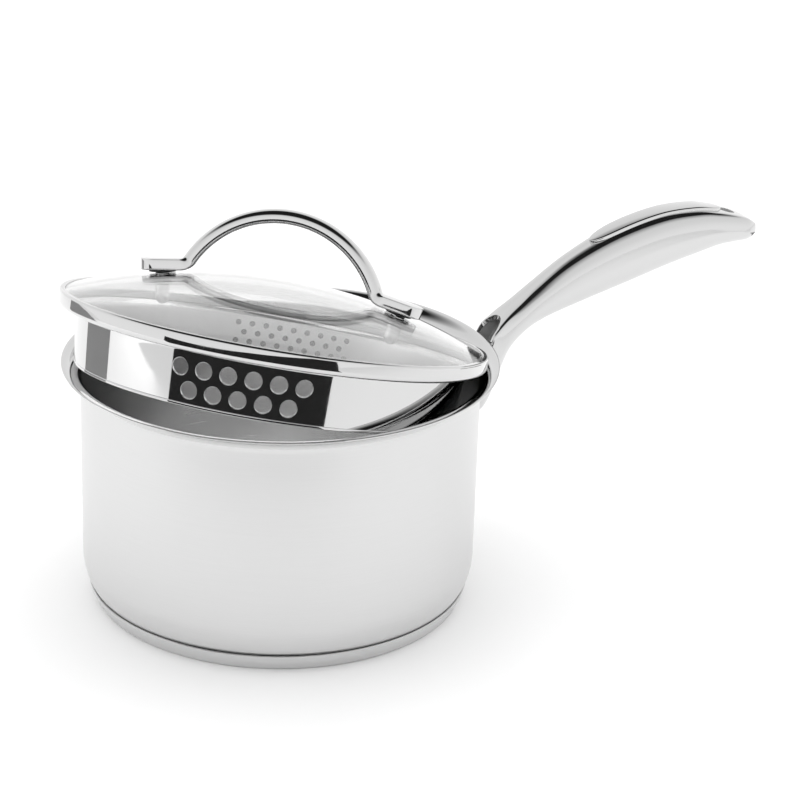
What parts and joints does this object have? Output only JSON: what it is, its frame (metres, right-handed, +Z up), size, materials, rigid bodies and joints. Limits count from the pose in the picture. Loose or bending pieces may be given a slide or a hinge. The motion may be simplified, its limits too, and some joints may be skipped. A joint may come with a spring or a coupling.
{
  "type": "saucepan",
  "caption": "Steel saucepan with a long curved handle and a domed glass lid whose deep perforated band leans in the mouth.",
  "frame": {"origin": "centre of the pan's flat underside, on the surface that it stands on", "axes": "+Z up along the pan's axis, +X out along the pan's handle"},
  "size_m": [0.374, 0.2189, 0.2011],
  "materials": {
    "satin_steel": "satin, brushed round the wall",
    "polished_steel": "mirror-polished stainless steel",
    "polished_cast_steel": "cast stainless steel, polished",
    "bracket_steel": "plain pressed steel",
    "aluminium_core": "plain",
    "tempered_glass": "clear and smooth",
    "clear_silicone": "smooth, milky",
    "black_silicone": "smooth"
  },
  "bodies": {
    "pan": {"pan_body": "satin_steel", "base_cap": "satin_steel", "heat_disc": "aluminium_core", "handle_bracket": "bracket_steel", "pan_handle": "polished_cast_steel"},
    "lid": {"strainer_rim": "polished_steel", "lid_glass": "tempered_glass", "glass_seal": "clear_silicone", "lid_handle": "polished_steel", "foot_gasket_left": "black_silicone", "foot_gasket_right": "black_silicone", "glass_pad_left": "clear_silicone", "glass_pad_right": "clear_silicone", "nut_washer_left": "polished_steel", "nut_washer_right": "polished_steel", "lid_stud_left": "polished_steel", "lid_stud_right": "polished_steel", "cap_nut_left": "polished_steel", "cap_nut_right": "polished_steel"}
  },
  "joints": [
    {"name": "lid_lift", "type": "slide", "parent": "pan", "child": "lid", "axis": [0, 0, 1], "range_m": [0, 0.12]}
  ]
}
